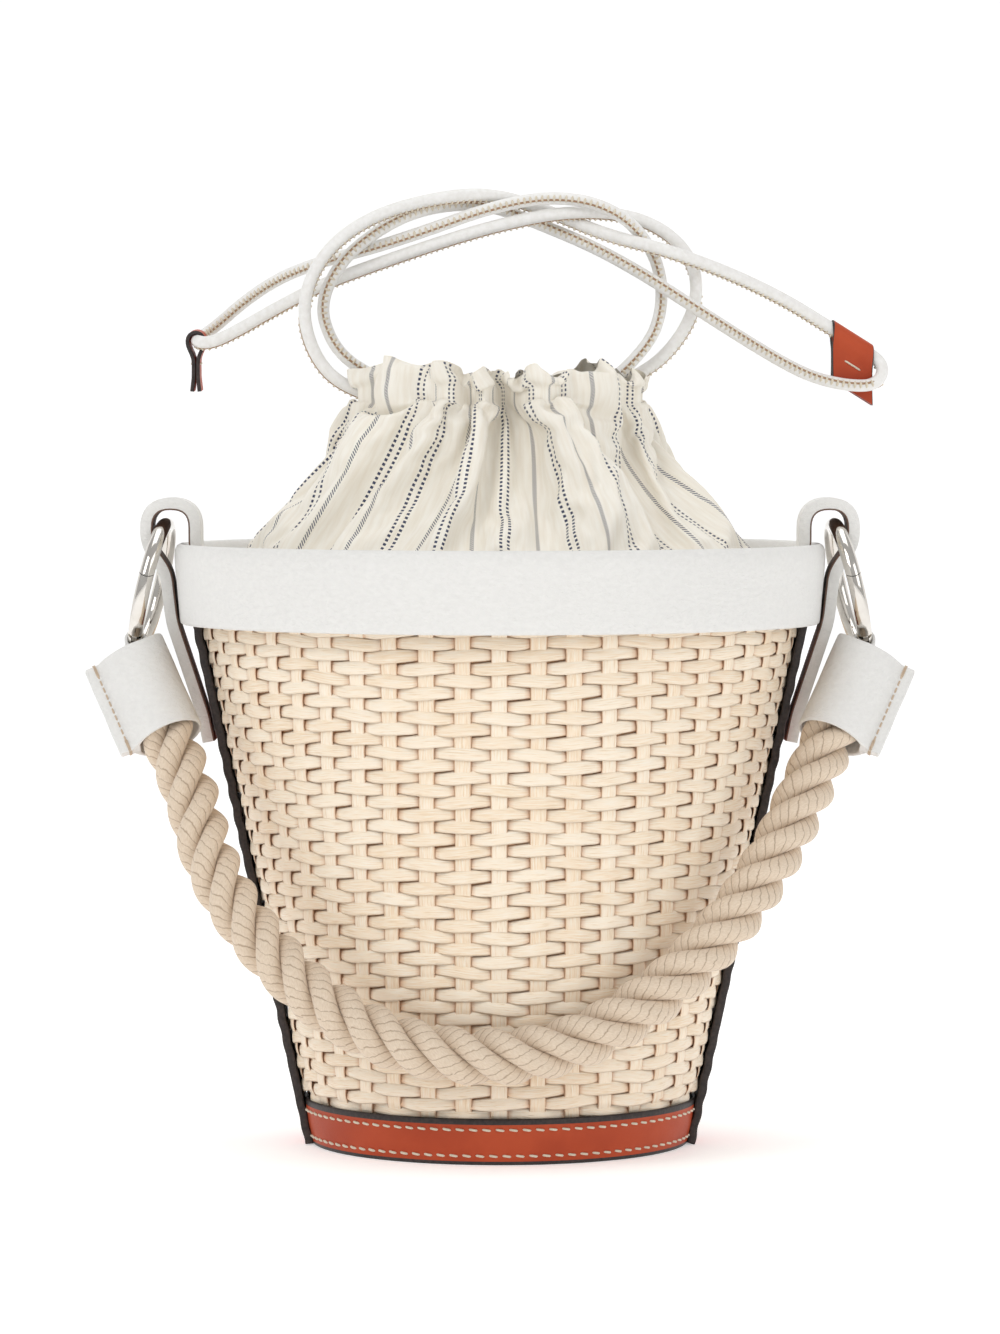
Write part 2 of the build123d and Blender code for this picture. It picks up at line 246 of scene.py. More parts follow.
def rope_finish():
    """Cotton rope. UV runs along the rope in metres, and round each strand from 0 to 1."""
    f = Finish("rope", (0.68, 0.55, 0.40), 0.8, Sheen_Weight=0.2)
    parts = f.node("SeparateXYZ")
    f.join(f.place("UV"), parts.inputs[0])
    along, around = parts.outputs[0], parts.outputs[1]
    yarns_round_strand, yarns_per_metre = 8.0, 274.0
    wander = f.noise(1.0, (160, 5, 1), "UV", 3)
    turn = f.math("ADD", f.math("MULTIPLY", around, yarns_round_strand),
                  f.math("MULTIPLY", along, yarns_per_metre))
    yarn = f.math("PINGPONG", f.math("ADD", turn, wander), 0.5)
    painted_groove_shade = f.range(yarn, 0.0, f.range(wander, 0.35, 0.65, 0.04, 0.14))
    fluff = f.noise(1.0, (900, 60, 1), "UV", 3)
    lit = f.mix(f.range(fluff, 0.35, 0.7), (0.67, 0.54, 0.405), (0.76, 0.64, 0.51))
    # The grooves between the yarns are darkened as painted shade
    f.colour(f.mix(painted_groove_shade, (0.40, 0.29, 0.20), lit))
    f.bump((f.range(yarn, 0.0, 0.5), 0.5, 0.45), (fluff, 0.3, 0.15))
    return f.material


def board_finish():
    f = Finish("board", (0.42, 0.33, 0.22), 0.85)
    fibre = f.noise(300, (1, 3, 1), detail=4)
    f.colour(f.mix(fibre, (0.35, 0.27, 0.18), (0.50, 0.40, 0.28)))
    f.bump((fibre, 0.3, 0.2))
    return f.material


STRAW = straw_finish()
WHITE = white_leather_finish()
TAN = tan_leather_finish()
DARK = dark_edge_finish()
COTTON = cotton_finish()
CORD = cord_finish()
# Brown suede for the loops' lining, darkened past its own brown as painted shade
SHADE_DARKENED_BROWN_SUEDE = thread_finish("shade_darkened_brown_suede", (0.15, 0.085, 0.06))
CREAM_THREAD = thread_finish("cream_thread", (0.78, 0.70, 0.56))
TAN_THREAD = thread_finish("tan_thread", (0.42, 0.26, 0.15))
BEIGE_THREAD = thread_finish("beige_thread", (0.62, 0.48, 0.35))
NICKEL = nickel_finish()
STEEL = nickel_finish("spring_steel", 0.25)
ROPE = rope_finish()
BOARD = board_finish()
BY_SLOT = {
    "straw": STRAW, "white_leather": WHITE, "tan_leather": TAN, "dark_edge_leather": DARK,
    "striped_cotton": COTTON, "white_cord": CORD, "polished_nickel": NICKEL,
    "spring_steel": STEEL, "rope": ROPE, "board": BOARD,
}
for part in frame["record"]["subparts"]:
    slots = frame["nodes"][part["node"]].data.materials
    slots.clear()
    slots.append(BY_SLOT[part["material_slot"]])


# ---------------------------------------------------------------- mesh tools
class Shape:
    """Gathers grids of points into one mesh."""

    def __init__(self):
        self.points, self.faces, self.uvs, self.kinds = [], [], [], []
        self.values = {"shade": [], "tint": []}

    def grid(self, table, rows_close=False, cols_close=False, u=None, v=None, kind=0, caps=(),
             shade=None, tint=None):
        """A table of points, row by row. u and v are the UV of each row and column, with one
        more where the table closes. kind is the material of the faces, or one for each column."""
        table = np.asarray(table, float)
        rows, cols = table.shape[:2]
        start = len(self.points)
        self.points.extend(table.reshape(-1, 3).tolist())
        for key, value in (("shade", shade), ("tint", tint)):
            spread = np.zeros((rows, cols)) if value is None else np.broadcast_to(value, (rows, cols))
            self.values[key].extend(spread.reshape(-1).tolist())
        u = np.arange(rows + 1) if u is None else u
        v = np.arange(cols + 1) if v is None else v
        for a in range(rows if rows_close else rows - 1):
            for b in range(cols if cols_close else cols - 1):
                corners = ((a, b), (a, b + 1), (a + 1, b + 1), (a + 1, b))
                self.faces.append([start + (i % rows) * cols + j % cols for i, j in corners])
                self.uvs.extend((u[i], v[j]) for i, j in corners)
                self.kinds.append(kind if isinstance(kind, int) else kind[b])
        for row in caps:
            ring = [start + (row % rows) * cols + j for j in range(cols)]
            self.faces.append(ring[::-1] if row == 0 else ring)
            self.uvs.extend((u[row % rows], v[j]) for j in range(cols))
            self.kinds.append(kind if isinstance(kind, int) else kind[0])

    def build(self, name, materials, slot, body, replaces=(), sharp=50):
        mesh = bpy.data.meshes.new(name)
        mesh.from_pydata(self.points, [], self.faces)
        mesh.polygons.foreach_set("material_index", self.kinds)
        mesh.polygons.foreach_set("use_smooth", [True] * len(self.faces))
        layer = mesh.uv_layers.new(name="UVMap")
        layer.data.foreach_set("uv", np.array(self.uvs, np.float32).reshape(-1))
        for key, value in self.values.items():
            if any(value):
                spread = mesh.attributes.new(key, "FLOAT", "POINT")
                spread.data.foreach_set("value", np.array(value, np.float32))
        for material in materials:
            mesh.materials.append(material)
        mesh.update()
        if sharp:
            mesh.set_sharp_from_angle(angle=math.radians(sharp))
        obj = bpy.data.objects.new(name, mesh)
        bpy.context.scene.collection.objects.link(obj)
        return settle(obj, body, replaces)


def settle(obj, body, replaces=()):
    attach(obj, body)
    if replaces:
        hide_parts(*replaces)
    return obj


def frames_along(line):
    """Two crosswise directions at each point of a line, turning as little as they can."""
    tangents = np.gradient(line, axis=0)
    tangents /= np.linalg.norm(tangents, axis=1)[:, None]
    side = np.cross(tangents[0], (0.0, 0.0, 1.0))
    if np.linalg.norm(side) < 0.1:
        side = np.cross(tangents[0], (0.0, 1.0, 0.0))
    first = []
    for tangent in tangents:
        side = side - tangent * side.dot(tangent)
        side = side / np.linalg.norm(side)
        first.append(side)
    first = np.array(first)
    return first, np.cross(tangents, first)


def thread(shape, line, radius, sides=6):
    """A fine thread along a few points, drawn in at both ends."""
    line = np.asarray(line, float)
    one, two = frames_along(line)
    radii = np.full(len(line), radius)
    radii[[0, -1]] *= 0.35
    turns = np.arange(sides) * TAU / sides
    ring = np.cos(turns)[None, :, None] * one[:, None] + np.sin(turns)[None, :, None] * two[:, None]
    shape.grid(line[:, None] + ring * radii[:, None, None], cols_close=True, caps=(0, -1))


def rounded(points, reach):
    """A line through corners, each eased over its reach to both sides."""
    points = [np.array(p, float) for p in points]
    line = [points[0]]
    for before, here, after, ease in zip(points, points[1:], points[2:], reach):
        start = here + (before - here) / np.linalg.norm(before - here) * ease
        end = here + (after - here) / np.linalg.norm(after - here) * ease
        for t in np.linspace(0, 1, 9):
            line.append((1 - t) ** 2 * start + 2 * t * (1 - t) * here + t * t * end)
    line.append(points[-1])
    return np.array(line)


def even(line, step):
    """The same line with points a step apart."""
    line = np.asarray(line, float)
    runs = np.r_[0, np.cumsum(np.linalg.norm(np.diff(line, axis=0), axis=1))]
    at = np.linspace(0, runs[-1], max(3, int(round(runs[-1] / step)) + 1))
    return np.stack([np.interp(at, runs, line[:, i]) for i in range(3)], axis=1)


def strap(shape, line, across, width, thick, inner=0, edge=1, corner=0.45 * MM):
    """A flat strap of leather along a line, with eased edges. Its width lies along across. inner
    and edge are the materials of its back and its edges."""
    line = np.asarray(line, float)
    across = np.asarray(across, float) / np.linalg.norm(across)
    tangents = np.gradient(line, axis=0)
    out = np.cross(across, tangents)
    out /= np.linalg.norm(out, axis=1)[:, None]
    # Half the width, half the thickness, the corner's reach and how far it is cut back
    w, t, c, k = width / 2, thick / 2, corner, corner * 0.3
    outline = np.array([(w, -t + c), (w, t - c), (w - k, t - k), (w - c, t), (w - 3 * c, t),
                        (-w + 3 * c, t), (-w + c, t), (-w + k, t - k), (-w, t - c), (-w, -t + c),
                        (-w + k, -t + k), (-w + c, -t), (-w + 3 * c, -t), (w - 3 * c, -t),
                        (w - c, -t), (w - k, -t + k)])
    kinds = [edge] * 3 + [0] * 3 + [edge] * 5 + [inner] * 3 + [edge] * 2
    # Each end has two sections at one place, the outer one thinner, so that its rim is eased
    steps = np.r_[line[:1], line, line[-1:]]
    normals = np.r_[out[:1], out, out[-1:]]
    sizes = np.ones(len(steps))
    sizes[[0, -1]] = 0.6
    rings = (steps[:, None] + across * outline[None, :, :1]
             + normals[:, None] * outline[None, :, 1, None] * sizes[:, None, None])
    run = np.r_[0, np.cumsum(np.linalg.norm(np.diff(steps, axis=0), axis=1))]
    shape.grid(rings, cols_close=True, kind=kinds, caps=(0, -1), u=np.r_[run, run[-1]],
               v=np.linspace(0, 2 * (width + thick), len(outline) + 1))


def turned(shape, profile, kind=0, close=True, start=0.0, end=TAU, steps=240):
    """A profile of (radius, height) turned about the Z axis."""
    profile = np.array(profile, float)
    whole = abs(end - start - TAU) < 1e-6
    turns = np.linspace(start, end, steps, endpoint=not whole)
    table = np.stack([profile[None, :, 0] * np.cos(turns)[:, None],
                      profile[None, :, 0] * np.sin(turns)[:, None],
                      np.broadcast_to(profile[None, :, 1], (len(turns), len(profile)))], axis=2)
    shape.grid(table, rows_close=whole, cols_close=close, kind=kind,
               caps=() if whole else (0, -1), u=np.append(turns, end) * 0.1)


# ---------------------------------------------------------------- cords
def spline(name, points):
    """A smooth curve with these control points, in metres."""
    curve = bpy.data.curves.new(name, "CURVE")
    curve.dimensions = "3D"
    nurbs = curve.splines.new("NURBS")
    nurbs.points.add(len(points) - 1)
    for spot, point in zip(nurbs.points, points):
        spot.co = (*point, 1)
    nurbs.order_u = 3
    nurbs.use_endpoint_u = True
    nurbs.resolution_u = 16
    curve.resolution_u = 16
    return curve


def line_of(points):
    """The points that a smooth curve with these control points runs through."""
    obj = bpy.data.objects.new("route", spline("route", points))
    mesh = bpy.data.meshes.new_from_object(obj)
    line = np.array([v.co for v in mesh.vertices])
    bpy.data.objects.remove(obj)
    bpy.data.meshes.remove(mesh)
    return line


def length_of(line):
    return float(np.linalg.norm(np.diff(line, axis=0), axis=1).sum())


ROPE_ROUTE = [
    (-0.141255, -0.019385, 0.187145), (-0.122675, -0.040842, 0.148436),
    (-0.113, -0.060, 0.113), (-0.087, -0.079, 0.079), (-0.056, -0.092, 0.055),
    (-0.019, -0.098, 0.044), (0.022, -0.097, 0.046), (0.060, -0.087, 0.065),
    (0.090, -0.071, 0.094), (0.109, -0.056, 0.121),
    (0.122675, -0.040842, 0.148436), (0.141255, -0.019385, 0.187145),
]
LAY = 47 * MM
STRAND_PLACE = 5.95 * MM
STRAND_OUT, STRAND_ROUND = 5.2 * MM, 5.75 * MM
STRAND_SIDES = 24
FIRST_TURN = 0.6
rope_line = even(line_of(ROPE_ROUTE), 1.4 * MM)
rope_one, rope_two = frames_along(rope_line)
rope_run = np.arange(len(rope_line)) * length_of(rope_line) / (len(rope_line) - 1)
strands = Shape()
round_strand = np.linspace(0, TAU, STRAND_SIDES + 1)[:-1]
for strand in range(3):
    turn = TAU * rope_run / LAY + strand * TAU / 3 + FIRST_TURN
    uneven = 1 + 0.02 * np.sin(rope_run * 210 + 2 * strand)
    radial = rope_one * np.cos(turn)[:, None] + rope_two * np.sin(turn)[:, None]
    round_it = -rope_one * np.sin(turn)[:, None] + rope_two * np.cos(turn)[:, None]
    # The section is in the rope's own directions, so the yarns run along the rope
    around = round_strand[None, :] - turn[:, None]
    reach_out = STRAND_OUT * np.cos(around) * uneven[:, None]
    reach_round = STRAND_ROUND * np.sin(around)
    table = (rope_line[:, None] + radial[:, None] * (STRAND_PLACE + reach_out[:, :, None])
             + round_it[:, None] * reach_round[:, :, None])
    strands.grid(table, cols_close=True, caps=(0, -1), u=np.r_[rope_run, 0],
                 v=np.linspace(0, 1, STRAND_SIDES + 1))
rope = strands.build("rope_strands", [ROPE], "rope", "handle", ["rope_handle"], sharp=0)

DRAWCORD_LEFT = [
    (-0.048, -0.006, 0.298), (-0.063, -0.007, 0.302), (-0.075, -0.008, 0.316),
    (-0.079, -0.009, 0.336), (-0.071, -0.009, 0.355), (-0.054, -0.007, 0.369),
    (-0.030, -0.004, 0.377), (-0.004, 0.002, 0.380), (0.019, 0.005, 0.373),
    (0.042, 0.000, 0.363), (0.066, -0.007, 0.357), (0.092, 0.005, 0.348),
    (0.114, 0.017, 0.338), (0.131, 0.026, 0.328), (0.147, 0.029, 0.318),
    (0.156, 0.028, 0.311), (0.152, 0.024, 0.303), (0.140, 0.022, 0.303),
    (0.127, 0.020, 0.306), (0.114, 0.015, 0.312), (0.097, 0.007, 0.322),
    (0.079, -0.004, 0.333), (0.059, -0.005, 0.346), (0.038, 0.001, 0.358),
    (0.017, 0.007, 0.367), (-0.006, 0.008, 0.376), (-0.030, 0.004, 0.374),
    (-0.049, 0.000, 0.365), (-0.064, -0.003, 0.352), (-0.072, -0.002, 0.335),
    (-0.067, -0.001, 0.319), (-0.056, 0.000, 0.309), (-0.044, 0.000, 0.304),
]
DRAWCORD_RIGHT = [
    (0.045, 0.006, 0.303), (0.058, 0.007, 0.308), (0.071, 0.007, 0.320),
    (0.079, 0.006, 0.336), (0.078, 0.007, 0.352), (0.067, 0.008, 0.365),
    (0.049, 0.007, 0.372), (0.025, -0.004, 0.372), (0.000, -0.005, 0.367),
    (-0.024, -0.002, 0.360), (-0.048, 0.004, 0.352), (-0.070, 0.004, 0.344),
    (-0.090, 0.013, 0.334), (-0.106, 0.020, 0.325), (-0.117, 0.021, 0.320),
    (-0.123, 0.025, 0.321), (-0.123, 0.041, 0.322), (-0.116, 0.045, 0.327),
    (-0.103, 0.037, 0.338), (-0.088, 0.022, 0.347), (-0.070, 0.007, 0.353),
    (-0.050, 0.003, 0.358), (-0.028, -0.001, 0.365), (-0.006, -0.003, 0.373),
    (0.017, -0.004, 0.378), (0.038, -0.006, 0.376), (0.054, 0.000, 0.367),
    (0.064, 0.004, 0.351), (0.065, 0.003, 0.333), (0.059, 0.001, 0.318),
    (0.048, 0.000, 0.308),
]


def seam_on(line, name, facing):
    """The seam of a rolled cord: its raw edge and the stitches over it, on the side that faces
    a direction."""
    line = even(line, 1.2 * MM)
    tangent = np.gradient(line, axis=0)
    tangent /= np.linalg.norm(tangent, axis=1)[:, None]
    facing = np.array(facing, float)
    out = facing - tangent * (tangent @ facing)[:, None]
    out /= np.linalg.norm(out, axis=1)[:, None]
    beside = np.cross(tangent, out)

    def on_cord(i, angle, radius):
        return line[i] + radius * MM * (math.cos(angle) * out[i] + math.sin(angle) * beside[i])

    edge, stitches = Shape(), Shape()
    thread(edge, [on_cord(i, 0.1, 2.32) for i in range(len(line))], 0.55 * MM, sides=5)
    over_edge = ((-0.75, 2.4), (-0.4, 2.75), (0, 2.95), (0.4, 2.75))
    for i in range(1, len(line) - 1, 2):
        thread(stitches, [on_cord(i, angle, radius) for angle, radius in over_edge], 0.56 * MM, sides=5)
    return (edge.build(name + "_edge", [TAN_THREAD], "white_cord", "basket", sharp=0),
            stitches.build(name + "_stitches", [CREAM_THREAD], "white_cord", "basket", sharp=0))


# Each cord goes out to its tab and comes back. The share of its way out and the direction that the
# seam of its way back faces are given.
for side, route, way_out, back_facing in (("left", DRAWCORD_LEFT, 0.50, (0, -1, 0.25)),
                                          ("right", DRAWCORD_RIGHT, 0.53, (0, -1, -0.2))):
    line = line_of(route)
    curve = spline(f"drawcord_{side}_leather", route)
    curve.bevel_depth = 2.5 * MM
    curve.bevel_resolution = 6
    curve.use_fill_caps = True
    curve.materials.append(CORD)
    cord = bpy.data.objects.new(f"drawcord_{side}_leather", curve)
    bpy.context.scene.collection.objects.link(cord)
    settle(cord, "basket", [f"drawcord_{side}"])
    turn_back = int(len(line) * way_out)
    seam = [*seam_on(line[turn_back:], f"drawcord_{side}_back", back_facing),
            *seam_on(line[:turn_back], f"drawcord_{side}_out", (0, 0.1, -1))]


# ---------------------------------------------------------------- woven basket
WALL_FOOT_Z, WALL_TOP_Z, ROWS, STAKE_GAP = 3.0 * MM, 235.5 * MM, 49, 14.3 * MM
PITCH = (WALL_TOP_Z - WALL_FOOT_Z) / ROWS
LOWER_ROWS = 25
WEAVER_STEPS = 468
WEAVER_OUTLINE = ((-1, 0.05), (-0.72, 0.36), (0, 0.55), (0.72, 0.36), (1, 0.05), (0.6, -0.3),
                  (-0.6, -0.3))
WEAVER_EDGE_SHADE = np.array([0.1, 0, 0, 0, 0.1, 0.4, 0.4])
LAST_STAKE = 13
STAKE_HALF = 3.3 * MM
STAKE_OUTLINE = ((-1, -0.1), (-0.82, 0.26), (0, 0.36), (0.82, 0.26), (1, -0.1), (0.6, -0.3),
                 (-0.6, -0.3))
# Painted shade on the stakes: dark lines along their edges, beside the weavers' slits, and on their
# backs
STAKE_EDGE_SHADE = np.array([0.85, 0.05, 0, 0.05, 0.85, 0.8, 0.8])


def wall_radius(z):
    """Middle of the woven wall at a height."""
    return np.interp(z, [0.0026, 0.0186, 0.0194, 0.024, 0.208, 0.236],
                     [0.0725, 0.0755, 0.0762, 0.0788, 0.11825, 0.1276])


turns = np.arange(WEAVER_STEPS) * TAU / WEAVER_STEPS
# The wall is two flat mats, front and back, so the stakes stand a fixed distance apart
across_mat = np.arcsin(np.cos(turns))
weavers = [Shape(), Shape()]
for row in range(ROWS):
    z = WALL_FOOT_Z + (row + 0.5) * PITCH
    # over is 1 where the weaver passes over a stake, and -1 where it passes under one
    phase = across_mat * wall_radius(z) / STAKE_GAP * math.pi
    over = np.cos(phase + math.pi * row)
    # Each float of the row has its own tint, 32 to a mat
    floats = np.array([rng.random() for _ in range(64)])
    index = np.round((phase / math.pi + row) / 2).astype(int) + 16 + 32 * (np.sin(turns) > 0)
    tint = floats[index % 64]
    wobble = MM * (0.5 * np.sin(turns * 5 + 0.35 * row) + 0.3 * np.sin(turns * 11 + 0.2 * row))
    lift = MM * (0.8 * over + 0.04 * over ** 2 - 0.12)
    half = MM * (2.56 + 0.24 * over - 0.5 * np.maximum(0, -over) ** 1.5)
    lean = 0.35 * MM * np.sin(phase + math.pi * row) * (1 if row % 3 else -1)
    middle = wall_radius(z) + lift
    table = []
    for up, out in WEAVER_OUTLINE:
        height = z + wobble + lean + up * half
        radius = middle + out * MM
        table.append(np.stack([radius * np.cos(turns), radius * np.sin(turns), height], axis=1))
    # Painted shade: orange-brown where the weaver dives under a stake, and a little along its edges
    shade = np.clip(-1.7 * over - 0.75, 0, 0.75)[:, None] + WEAVER_EDGE_SHADE
    weavers[row // LOWER_ROWS].grid(np.stack(table, axis=1), rows_close=True, cols_close=True,
                                    u=np.linspace(0, TAU * 0.1, WEAVER_STEPS + 1) + row * 0.37,
                                    v=np.array([0, 1.2, 2.6, 4.0, 5.2, 7, 9, 10.4]) * MM + row * 0.011,
                                    shade=np.clip(shade, 0, 0.9), tint=tint[:, None])
weavers[0].build("basket_weavers_lower", [STRAW], "straw", "basket", ["basket_shell"], sharp=0)
weavers[1].build("basket_weavers_upper", [STRAW], "straw", "basket", sharp=0)

# A thin dark shell behind the weavers keeps light from showing through the weave. Its colour is painted
# shade, the orange-brown of the gaps.
stakes = Shape()
backing = np.linspace(WALL_FOOT_Z, WALL_TOP_Z, 30)
turned(stakes, np.stack([wall_radius(backing) - 1.15 * MM, backing], axis=1), close=False)
stakes.values["shade"] = [0.8] * len(stakes.points)
every_height = np.linspace(WALL_FOOT_Z, WALL_TOP_Z, ROWS * 4 + 1)
for face, stake in ((face, stake) for face in (-1, 1) for stake in range(-LAST_STAKE, LAST_STAKE + 1)):
    # A stake far from the middle starts where the wall is wide enough for it
    swing = stake * STAKE_GAP / wall_radius(every_height)
    heights = every_height[np.abs(swing) < 1.5]
    if len(heights) < 4:
        continue
    swing = stake * STAKE_GAP / wall_radius(heights)
    level = (heights - WALL_FOOT_Z) / PITCH - 0.5
    bulge = -np.cos(math.pi * (level + stake))
    radius = wall_radius(heights) + MM * (0.18 + 0.30 * bulge)
    lean = 0.35 * MM * math.sin(stake * 2.3 + face)
    half = STAKE_HALF * (1 + 0.05 * np.sin(heights * 90 + stake))
    out = np.stack([np.sin(swing), face * np.cos(swing), 0 * swing], axis=1)
    beside = np.stack([-face * np.cos(swing), np.sin(swing), 0 * swing], axis=1)
    centre = out * radius[:, None] + np.array((0, 0, 1)) * heights[:, None]
    table = np.stack([centre + beside * (a * half + lean)[:, None] + out * b * MM
                      for a, b in STAKE_OUTLINE], axis=1)
    stakes.grid(table, cols_close=True, caps=(0, -1), u=np.r_[heights, 0] + stake * 0.53,
                v=np.array([0, 1, 2.6, 4.2, 5.2, 7, 9, 10.4]) * MM + stake * 0.013,
                shade=STAKE_EDGE_SHADE[None, :], tint=rng.random())
stakes.build("basket_stakes", [STRAW], "straw", "basket", sharp=0)

# ---------------------------------------------------------------- base
BAND_FOOT_R, BAND_TOP_R, BAND_HEIGHT = 75.6 * MM, 79.0 * MM, 18.4 * MM
BAND_SLOPE = (BAND_TOP_R - BAND_FOOT_R) / BAND_HEIGHT
# Points of the band's section: height, and depth below its cone. The outer face below 1.5 mm and above
# 16.1 mm, the top, the inner face and the foot take the dark edge colour; at the top of the outer face
# that width is partly the leather's dark edge and partly painted shade where the band meets the weave.
BAND_SKIN = ((0.0, 0.5), (0.5, 0.05), (1.5, 0), (3, -0.1), (9, -0.35), (15, -0.1), (16.1, 0),
             (17.9, 0.1), (18.4, 0.6), (18.4, 1.7), (9, 1.8), (0.0, 1.8))


def band_radius(z):
    return BAND_FOOT_R + BAND_SLOPE * z


for name, start in (("front", math.pi), ("back", 0.0)):
    band = Shape()
    profile = [(band_radius(z * MM) - inwards * MM, z * MM) for z, inwards in BAND_SKIN]
    turned(band, profile, kind=[1, 1, 0, 0, 0, 0, 1, 1, 1, 1, 1, 1], start=start, end=start + math.pi,
           steps=150)
    band.build(f"base_band_{name}_leather", [TAN, DARK], "tan_leather", "basket",
               [f"base_band_{name}"], sharp=0)
    stitches = Shape()
    for z, count in ((3.7 * MM, 46), (14.1 * MM, 47)):
        for i in range(count):
            turn = start + (i + 0.5) * math.pi / count
            radius = band_radius(z) + 0.25 * MM
            reach = 1.85 * MM / radius
            points = []
            for share, depth in ((-1, -0.55), (-0.6, 0.05), (0, 0.25), (0.6, 0.05), (1, -0.55)):
                angle = turn + share * reach
                points.append(((radius + depth * MM) * math.cos(angle),
                               (radius + depth * MM) * math.sin(angle), z - share * 0.28 * MM))
            thread(stitches, points, 0.5 * MM)
    stitches.build(f"base_band_{name}_stitches", [CREAM_THREAD], "tan_leather", "basket", sharp=0)

# ---------------------------------------------------------------- side strips
STRIP_FOOT_X, STRIP_SLOPE, STRIP_HEIGHT = 76.2 * MM, 0.2145, 207.4 * MM
STRIP_WIDTH, STRIP_THICK = 28 * MM, 3.3 * MM
top_x = STRIP_FOOT_X + STRIP_SLOPE * STRIP_HEIGHT
for name, side in SIDES:
    strip = Shape()
    line = even([(side * STRIP_FOOT_X, 0, 0.3 * MM), (side * top_x, 0, 207.3 * MM)], 1.6 * MM)
    # The strip follows the rows of the weave a little
    line[:, 0] += side * 0.3 * MM * np.sin(line[:, 2] / PITCH * math.pi) * np.sin(line[:, 2] * 41 + side)
    strap(strip, line, (0, side, 0), STRIP_WIDTH, STRIP_THICK, inner=1)
    strip.build(f"side_strip_{name}_leather", [TAN, DARK], "dark_edge_leather", "basket",
                [f"side_strip_{name}"])

# ---------------------------------------------------------------- rim
# Once round the folded leather: outside, over the hoop, down inside, and back under the fold
rim = Shape()
profile = [(126.0, 209.2), (126.2, 208.3), (126.9, 208.0), (127.6, 208.4), (127.9, 209.6),
           (128.3, 214), (129.0, 222), (129.7, 230), (130.0, 235), (129.8, 237.6), (129.0, 239.3),
           (127.7, 240.0), (126.4, 239.3), (125.4, 237.0), (122.9, 230), (119.8, 220), (117.6, 214.0),
           (117.9, 213.6), (118.5, 213.8), (123.6, 229), (126.1, 236.3), (127.6, 238.6),
           (128.8, 236.4), (128.4, 230), (126.9, 214)]
turned(rim, np.array(profile) * MM, steps=360)
rim.build("rim_band_leather", [WHITE], "white_leather", "basket", ["rim_band"], sharp=0)

# ---------------------------------------------------------------- loops
# The loop's way, as (distance from the middle, height): up inside the rim, over the ring and down
# outside. Each corner between has its ease.
LOOP = [(114.2, 214), (122.4, 239), (122.4, 255), (140.1, 255), (140.1, 240), (132.3, 229),
        (130, 209), (117.7, 172), (115.4, 161)]
LOOP_EASE = [3, 8.7, 8.7, 5, 4.5, 4, 3]
LOOP_WIDTH = 20 * MM
# The lining's suede is brown, darkened further as painted shade, so that it and its reflection in the
# ring read as dark as in shade
LOOP_LAYERS = (("loop", 1.1, 4.4, WHITE, "white_leather"),
               ("loop_lining", -1.35, 0.7, SHADE_DARKENED_BROWN_SUEDE, "tan_leather"))
for name, side in SIDES:
    for label, shift, thick, material, slot in LOOP_LAYERS:
        line = rounded([(side * x * MM, 0, z * MM) for x, z in LOOP], [ease * MM for ease in LOOP_EASE])
        tangent = np.gradient(line, axis=0)
        out = np.cross(tangent, (0, side, 0))
        out /= np.linalg.norm(out, axis=1)[:, None]
        layer = Shape()
        strap(layer, line + out * shift * MM, (0, side, 0), LOOP_WIDTH, thick * MM, edge=0,
              corner=0.2 * MM)
        layer.build(f"{label}_{name}_leather", [material], slot, "basket", [f"{label}_{name}"])

# ---------------------------------------------------------------- tabs
# A tab lies over its cord, between two points of the cord, and both its leaves hang down. A leaf
# is a list of (drop, distance from the middle).
TAB_OVER_CORD = 3.3 * MM
TAB_LEAF = ((20.5, 1.5), (15, 0.9), (10, 0.85), (7.5, 1.0), (5.6, 1.6), (3.9, 2.4), (2.2, 3.05),
            (1, 3.28))
TAB_STITCH = ((-4.2, 0.6), (-3, 0), (0, 0), (3, 0), (4.2, 0.6))
for name, start, end in (("left", (-123, 25.8, 321.1), (-123, 40.2, 321.9)),
                         ("right", (134, 26.4, 325.75), (150.5, 29, 315.5))):
    start, end = np.array(start) * MM, np.array(end) * MM
    along = (end - start) / np.linalg.norm(end - start)
    across = np.cross(along, (0, 0, 1))
    across /= np.linalg.norm(across)
    down = np.array((0.0, 0.0, -1.0))
    middle = (start + end) / 2
    line = [middle + across * out * MM + down * drop * MM for drop, out in TAB_LEAF]
    for turn in np.linspace(0, math.pi, 13):
        line.append(middle + (across * math.cos(turn) - down * math.sin(turn)) * TAB_OVER_CORD)
    line += [middle - across * out * MM + down * drop * MM for drop, out in reversed(TAB_LEAF)]
    tab = Shape()
    strap(tab, line, along, float(np.linalg.norm(end - start)), 1.6 * MM)
    tab.build(f"tab_{name}_leather", [TAN, DARK], "tan_leather", "basket", [f"tab_{name}"])
    stitch = Shape()
    for out in (1, -1):
        spot = middle + across * out * 1.85 * MM + down * 9.5 * MM
        thread(stitch, [spot + along * run * MM - across * out * sunk * MM for run, sunk in TAB_STITCH],
               0.42 * MM)
    stitch.build(f"tab_{name}_stitch", [CREAM_THREAD], "tan_leather", "basket", sharp=0)

